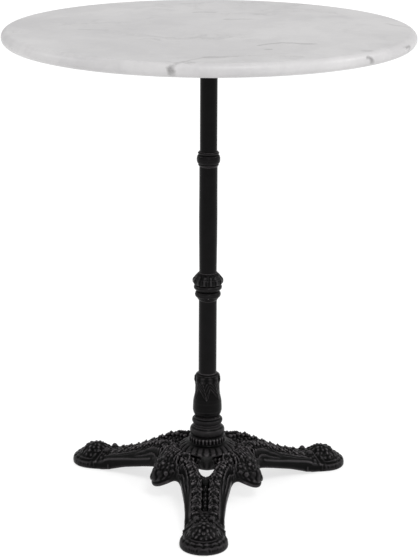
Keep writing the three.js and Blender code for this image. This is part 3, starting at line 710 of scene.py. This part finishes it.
def hub_distance(x, y, z, radius, along, aside, fine):
    """The hub: a ribbed boss that widens upwards, a gadrooned disc, and a fluted neck above it."""
    hub = radius - np.interp(z, HUB_HEIGHTS, HUB_RADII)
    if fine:
        turn = np.arctan2(y, x) / (2 * np.pi)
        upper = 1.5 * lobes_of(UPPER_FLUTES * turn) * window(z, 82.4, 90.2, 0.7)
        boss = 1.1 * lobes_of(BOSS_RIBS * turn) * window(z, 43, 65, 2)
        gadroon = 2.5 * lobes_of(GADROONS * turn + 0.5) * window(z, 70.6, 78.2, 1.2)
        hub = hub - upper - boss - gadroon
    step = 0.7
    above, below = (np.interp(height, HUB_HEIGHTS, HUB_RADII) for height in (z + step, z - step))
    slope = np.abs(above - below) / (2 * step)
    hub = hub / np.sqrt(1 + np.clip(slope, 0, 8) ** 2)
    hub = np.maximum(np.maximum(hub, z - BASE_TOP), BOSS_BOTTOM - z)
    if fine:
        boss_knob = ball(5.2, along - 31, aside - 13.5, z - 61)
        hub = smooth_min(hub, boss_knob, 1)
    return hub


def bud_tips(from_bud, around, height):
    """Rings of small, uneven leaf tips that cover the bud, as a distance."""
    tips = ball(3.2, from_bud, height - 25)
    for ring, (count, polar, size) in enumerate(BUD_RINGS):
        step = 2 * np.pi / count
        shift = 0.5 * (ring % 2)
        number = np.round(around / step - shift)
        nearest = (number + shift + 0.16 * np.sin(3.7 * number + ring)) * step
        slope = np.radians(polar + 4 * np.sin(5.1 * number + 2.3 * ring))
        reach = 23.6 + 0.7 * np.sin(2.9 * number + 1.3 * ring)
        outwards = from_bud * np.cos(around - nearest) - reach * np.sin(slope)
        upwards = height - reach * np.cos(slope)
        sideways = from_bud * np.sin(around - nearest) - 0.35 * upwards * np.sin(1.9 * number + ring)
        down = outwards * np.cos(slope) - upwards * np.sin(slope)
        proud = outwards * np.sin(slope) + upwards * np.cos(slope) - 0.3 * down
        bulk = np.sqrt((down / 3.9) ** 2 + (sideways / (size * 0.8)) ** 2 + (proud / size) ** 2)
        tips = np.minimum(tips, (bulk - 1) * 2.8)
    return tips


def foot_distance(along, aside, z, fine):
    """A round stepped foot with a carved bud on it."""
    from_foot = np.hypot(along - FOOT_ALONG, aside)
    from_bud = np.hypot(along - BUD_ALONG, aside)
    plinth_top = np.interp(from_foot, PLINTH_RADII, PLINTH_HEIGHTS)
    plinth = smooth_max(from_foot - FOOT_RADIUS, z - plinth_top, 1.6)
    plinth = smooth_max(plinth, FLOOR_GAP - z, 1)
    raised = (z - 11.5) * 1.15
    bud = np.hypot(from_bud, raised) - BUD_RADIUS
    if fine:
        around = np.arctan2(aside, along - BUD_ALONG)
        toe = ease(along - FOOT_ALONG, 2, 12)
        swags = 0.8 * lobes_of(9 * around / np.pi) * window(from_foot, 27, 33, 1) * toe
        plinth = plinth - swags
        bud = smooth_min(bud + 0.1, bud_tips(from_bud, around, raised), 1.0)
    bud = smooth_max(bud, 5 - z, 2)
    return smooth_min(plinth, bud, 1.2)


def carve_lobes(shell, radius, from_lobe, z):
    """The shell with the lobes' pits cut into it and their knobs put on."""
    turn = np.radians(from_lobe)
    along, aside = radius * np.cos(turn), radius * np.sin(turn)
    for at, side, height, size in LOBE_PITS:
        shell = smooth_max(shell, -ball(size, along - at, aside - side, z - height), 1.5)
    for at, side, height, size in LOBE_KNOBS:
        shell = smooth_min(shell, ball(size, along - at, aside - side, z - height), 1)
    return shell


def base_distance(x, y, z, fine):
    """The whole base casting. Its carving is worked out only when fine is true."""
    radius = np.hypot(x, y)
    third = 2 * np.pi / 3
    angle = (np.arctan2(y, x) + np.pi / 2 + third / 2) % third - third / 2
    along = radius * np.cos(angle)
    aside = np.abs(radius * np.sin(angle))
    from_lobe = np.degrees(third / 2 - np.abs(angle))
    shell = leg_and_crown(along, aside, radius, z, from_lobe, fine)
    if fine:
        shell = smooth_min(shell, crest_leaves(along, aside, z), 1.5)
        shell = smooth_min(shell, leaf_cluster(along, aside, z), 0.8)
        shell = carve_lobes(shell, radius, from_lobe, z)
        scroll_eye = ball(3.0, along - SCROLL_ALONG, aside - SCROLL_ASIDE, z - 69.8)
        slot_end_knob = ball(3.4, along - 162.5, aside - 3.4, z - 29.3)
        shell = smooth_min(shell, scroll_eye, 1.5)
        shell = smooth_min(shell, slot_end_knob, 0.8)
    whole = smooth_min(shell, hub_distance(x, y, z, radius, along, aside, fine), 2.0)
    whole = smooth_min(whole, foot_distance(along, aside, z, fine), 2.5)
    from_foot = np.hypot(along - FOOT_ALONG, aside)
    glide_pocket = np.maximum(from_foot - 19, z - 9)
    stud_hole = np.maximum(from_foot - 4, z - 27)
    nut_recess = np.maximum(radius - 11.5, z - 52)
    for hole in (glide_pocket, stud_hole, nut_recess, radius - ROD_HOLE):
        whole = np.maximum(whole, -hole)
    return whole


def thin_underside(piece):
    """Merge faces that look downwards, until the piece has no more than MOST_TRIANGLES."""
    mesh = piece.data
    down = np.empty(3 * len(mesh.vertices))
    mesh.vertices.foreach_get("normal", down)
    group = piece.vertex_groups.new(name="underside")
    group.add([int(i) for i in np.flatnonzero(down[2::3] < -0.3)], 1.0, "REPLACE")
    thin = piece.modifiers.new("thin", "DECIMATE")
    thin.ratio = MOST_TRIANGLES / (2 * len(mesh.polygons))
    thin.vertex_group = group.name
    thinned = evaluated_mesh(piece)
    piece.modifiers.clear()
    piece.vertex_groups.clear()
    piece.data = thinned
    thinned.set_sharp_from_angle(angle=SHARP)


# ---------- the spider under the top ----------
ARM_REACH, ARM_THICKNESS = 135, 6
SPIDER_BOTTOM, ARM_TOP = heights_of("top_spider")


def spider_distance(x, y, z, fine):
    """Four ribbed arms round a boss with a socket. It is the same whether fine is true or not."""
    radius = np.hypot(x, y)
    quarter = np.pi / 2
    angle = np.arctan2(y, x) % quarter - quarter / 2
    along, aside = radius * np.cos(angle), np.abs(radius * np.sin(angle))
    width = mix(17, 12.4, np.clip(along / (0.8 * ARM_REACH), 0, 1))
    plan = np.where(along < ARM_REACH, aside - width, np.hypot(along - ARM_REACH, aside) - 13)
    plan = smooth_min(plan, np.hypot(along - ARM_REACH, aside) - 13, 4)
    arm = smooth_max(smooth_max(plan, z - ARM_TOP, 0.8), ARM_TOP - ARM_THICKNESS - z, 1.2)
    underside = np.interp(along, (15, 28, ARM_REACH - 14), (669, 673, 689))
    rib = smooth_max(aside - 3.5, underside - z, 2)
    rib = smooth_max(rib, np.maximum(z - (ARM_TOP - 2), along - (ARM_REACH - 14)), 1)
    arm = smooth_min(arm, rib, 3)
    boss_heights = (SPIDER_BOTTOM, 655, 668, 674, ARM_TOP)
    boss_radius = np.interp(z, boss_heights, (17.5, 18.5, 18.5, 21, 21))
    boss = smooth_max(smooth_max(radius - boss_radius, z - ARM_TOP, 0.8), SPIDER_BOTTOM - z, 1)
    whole = smooth_min(arm, boss, 5)
    whole = smooth_max(whole, z - ARM_TOP, 0.6)
    socket = np.maximum(radius - UPPER_SOCKET, z - 670)
    nut_recess = np.maximum(radius - 13, 683 - z)
    screw_hole = np.hypot(along - ARM_REACH, aside) - 3.4
    for hole in (socket, nut_recess, radius - ROD_HOLE, screw_hole):
        whole = np.maximum(whole, -hole)
    return whole


# ---------- the turned pieces of the column ----------
# Outlines run upwards and bores downwards, as radius and height above the CAD node's bottom.
KNOP_LEAVES, VASE_LEAVES, VASE_KNOBS = 14, 6, 11


def bore_steps(*steps):
    """Inside corners from the top down, from (radius, top, bottom) of each step of the bore."""
    return [corner for radius, top, bottom in steps for corner in ((radius, top), (radius, bottom))]


def upper_tube(iron):
    bottom, top = heights_of("upper_column")
    length = top - bottom
    outline = [(12.85, 0), (12.85, length)]
    turned_piece("upper_tube", outline, bore_steps((9.65, length, 0)), "upper_column", iron)


def collar_ring(iron):
    outline = [(14, 0), (15.4, 1.9), *roll(14.9, 17.5, 10.5, 6.6), (15.9, 20.1), (14.4, 22)]
    bore = bore_steps((UPPER_SOCKET, 22, 15), (ROD_HOLE, 15, 7), (SOCKET, 7, 0))
    turned_piece("collar_ring", outline, bore, "column_collar", iron)


def middle_tube(iron):
    """A tube that swells slightly, with narrower ends that stand in the sockets."""
    outline = [(13.1, 0), (13.1, 10), (13.15, 13.7), (13.3, 27.7), (13.4, 42.7), (13.6, 58.7), (13.7, 77.7)]
    outline += [(13.8, 97.7), (13.65, 120.7), (13.55, 137.7), (13.55, 172.9), (13.1, 172.9), (13.1, 179.9)]
    turned_piece("middle_tube", outline, bore_steps((9.6, 179.9, 0)), "middle_column", iron)


def knop_relief(angle, z):
    """Leaves side by side round the knop's upper roll."""
    phase = KNOP_LEAVES * angle
    return 0.7 * (0.7 * np.cos(phase) + 0.3 * np.cos(2 * phase)) * window(z, 26.5, 39.5, 1.2)


def knop_ring(iron):
    """Three stacked rolls, the top one leafy."""
    outline = [(13.95, 0), (16.1, 3.1), *roll(16.3, 19.6, 9.3, 4.6), *roll(17, 21.4, 20.5, 4.3)]
    outline += [*roll(20.4, 22.7, 30.5, 5)[1:], (17.9, 39.3), (15, 42.5), (14, 43.5)]
    bore = bore_steps((SOCKET, 43.5, 33.5), (ROD_HOLE, 33.5, 10), (SOCKET, 10, 0))
    turned_piece("knop_ring", outline, bore, "knop", iron, relief=knop_relief, columns=192)


def lower_tube(iron):
    """A plain tube with narrower ends that stand in the sockets."""
    outline = [(13.1, 0), (13.1, 14), (13.65, 14), (13.65, 129.4), (13.1, 129.4), (13.1, 139.4)]
    turned_piece("lower_tube", outline, bore_steps((9.45, 139.4, 0)), "lower_column", iron)


def vase_relief(angle, z):
    """Pointed leaves with ribs and slanted veins that hang over the belly, under a ring of small knobs."""
    across = (angle + np.pi / 2 + 0.012 * (z - 27.5)) / (2 * np.pi / VASE_LEAVES)
    across = np.abs(across - np.round(across))
    edge = 29.5 + 18 * (2 * across) ** 1.3
    over = ease(z, edge - 0.9, edge + 0.9) * (1 - ease(z, 55.5, 61.5))
    rib = 0.4 * ridge(across, 0.06)
    veins = 0.14 * np.cos(2 * np.pi * (z + 5.5 - 30 * across) / 6.5)
    knobs = 0.9 * np.cos(VASE_KNOBS * (angle + 0.2)) * window(z, 56.5, 66, 1.5)
    return over * (0.6 + rib + veins * ease(z, edge, edge + 3)) + knobs


def leaf_vase(iron):
    """A vase with a belly below and a flared mouth above."""
    outline = [(18.2, 0), (19.6, 2), (21.2, 5.5), (22.3, 10), (22.2, 15.5), (21.8, 23.5), (21, 28.5)]
    outline += [(19.6, 34.5), (18.1, 40.5), (17.9, 48.5), (18.3, 54.5), (19.3, 59.5), (19.1, 64.5), (17.6, 67.5)]
    outline += [(15.2, 69.3), (14.6, 70)]
    bore = bore_steps((SOCKET, 70, 56), (ROD_HOLE, 56, 4.3), (NECK_BORE, 4.3, 0))
    turned_piece("leaf_vase", outline, bore, "vase", iron, relief=vase_relief, columns=216)


def torus_ring(iron):
    """A small and a large roll, with a spigot on top that centres the vase."""
    outline = [(20.4, 0), *roll(20.6, 21.5, 2, 1.6, 5), (20.7, 3.9), *roll(21.4, 23.5, 7.6, 3.4)]
    outline += [(20.4, 11.6), (20.3, 13.2), (18.8, 14.4), (9.5, 14.4), (9.5, 18.4)]
    bore = bore_steps((ROD_HOLE, 18.4, 4.3), (NECK_BORE, 4.3, 0))
    turned_piece("torus_ring", outline, bore, "neck_ring", iron, columns=160)


# ---------- the marble ----------
TOP_LOW, TOP_HIGH = heights_of("marble_top")
TOP_RADIUS = round(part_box("marble_top")[1].x / MM, 2)
HOLE_RADIUS, HOLE_BOTTOM, HOLE_TOP = 5.5, TOP_LOW - 4, TOP_LOW + 13  # the cutters start below the slab


def drill_holes(slab):
    """Blind holes for the four threaded inserts, above the ends of the spider's arms."""
    cutters = []
    for number in range(4):
        turn = math.radians(45 + 90 * number)
        middle = (ARM_REACH * math.cos(turn), ARM_REACH * math.sin(turn), (HOLE_BOTTOM + HOLE_TOP) / 2)
        cutter_mesh = bmesh.new()
        bmesh.ops.create_cone(
            cutter_mesh,
            segments=32,
            cap_ends=True,
            radius1=HOLE_RADIUS * MM,
            radius2=HOLE_RADIUS * MM,
            depth=(HOLE_TOP - HOLE_BOTTOM) * MM,
            matrix=Matrix.Translation(Vector(middle) * MM),
        )
        mesh = bpy.data.meshes.new(f"cutter_{number}")
        cutter_mesh.to_mesh(mesh)
        cutter_mesh.free()
        cutter = add_object(f"cutter_{number}", mesh)
        cutters.append(cutter)
        cut = slab.modifiers.new(f"hole_{number}", "BOOLEAN")
        cut.operation = "DIFFERENCE"
        cut.solver = "EXACT"
        cut.object = cutter
    drilled = evaluated_mesh(slab)
    slab.modifiers.clear()
    slab.data = drilled
    drilled.set_sharp_from_angle(angle=SHARP)
    for cutter in cutters:
        bpy.data.objects.remove(cutter)


def build_marble(stone):
    """A round slab with a full bullnose edge."""
    middle, half = (TOP_LOW + TOP_HIGH) / 2, (TOP_HIGH - TOP_LOW) / 2
    lower_face = [(radius, TOP_LOW) for radius in (0.5, 60, 150, 240)]
    upper_face = [(radius, TOP_HIGH) for radius in (240, 150, 60, 0.5)]
    rings = lower_face + roll(TOP_RADIUS - half, TOP_RADIUS, middle, half, 25) + upper_face
    columns = 256
    angle = np.linspace(0, 2 * np.pi, columns, endpoint=False)
    radius, z = np.array(rings).T
    x, y = np.outer(radius, np.cos(angle)), np.outer(radius, np.sin(angle))
    points = np.stack([x, y, np.repeat(z[:, None], columns, 1)], -1).reshape(-1, 3)
    faces = ring_faces(len(rings), columns, False).tolist()
    last = (len(rings) - 1) * columns
    faces += [list(range(columns))[::-1], list(range(last, last + columns))]
    drill_holes(make_piece("marble_slab", points, faces, stone, "marble_top"))


# ---------- stage ----------
def soft_sun(name, towards, strength, spread):
    """A distant softbox: even light from one side, spread over this many degrees of the sky."""
    data = bpy.data.lights.new(name, "SUN")
    data.energy = strength
    data.angle = math.radians(spread)
    light = add_object(name, data)
    light.rotation_euler = Vector(towards).to_track_quat("Z", "Y").to_euler()


def build_stage():
    """The floor, a white world and four soft suns."""
    mesh = bpy.data.meshes.new("studio_floor")
    half = 14.0
    corners = [(-half, -half, 0), (half, -half, 0), (half, half, 0), (-half, half, 0)]
    mesh.from_pydata(corners, [], [(0, 1, 2, 3)])
    mesh.materials.append(floor_material())
    floor = add_object("studio_floor", mesh)
    world = bpy.data.worlds.new("studio")
    world.use_nodes = True
    background = world.node_tree.nodes["Background"]
    set_inputs(background, color=(1, 1, 1, 1), strength=0.64)
    scene.world = world
    soft_sun("key", (0.3, -0.8, 0.95), 1.2, 16)
    soft_sun("front", (0.05, -1, 0.3), 0.26, 20)
    soft_sun("left", (-0.95, 0.05, 0.5), 0.42, 14)
    soft_sun("right", (0.95, 0.05, 0.6), 0.8, 14)
    scene.view_settings.view_transform = "Standard"


# ---------- assembly ----------
make_camera()
build_stage()
slots = {
    "marble": marble_material(),
    "black_iron": iron_material(),
    "zinc_steel": plated_material("zinc_steel", (0.52, 0.53, 0.54), 0.34),
    "brass": plated_material("brass", (0.72, 0.48, 0.2), 0.3),
    "rubber": moulded_material("rubber", (0.012, 0.012, 0.012), 0.8),
    "nylon": moulded_material("nylon", (0.014, 0.014, 0.015), 0.5),
}
# The finish of each CAD node, by the start of its name; every other node is black iron
NODE_SLOTS = {
    "marble_top": "marble",
    "marble_insert": "brass",
    "spider_pad": "rubber",
    "spider_washer": "zinc_steel",
    "spider_screw": "zinc_steel",
    "tie_": "zinc_steel",
    "glide_pad": "nylon",
    "glide_stud": "zinc_steel",
}
for node_name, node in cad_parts.items():
    found = [slot for start, slot in NODE_SLOTS.items() if node_name.startswith(start)]
    node.data.materials.clear()
    node.data.materials.append(slots[found[0] if found else "black_iron"])

iron = slots["black_iron"]
points, quads = surface_nets(base_distance, (-225, -250, -1.5), (225, 145, 112), 1.5)
thin_underside(make_piece("iron_base", points, quads, iron, "tripod_base"))
points, quads = surface_nets(spider_distance, (-112, -112, 652), (112, 112, 699), 1.5)
make_piece("iron_spider", points, quads, iron, "top_spider")
for build in (upper_tube, collar_ring, middle_tube, knop_ring, lower_tube, leaf_vase, torus_ring):
    build(iron)
build_marble(slots["marble"])
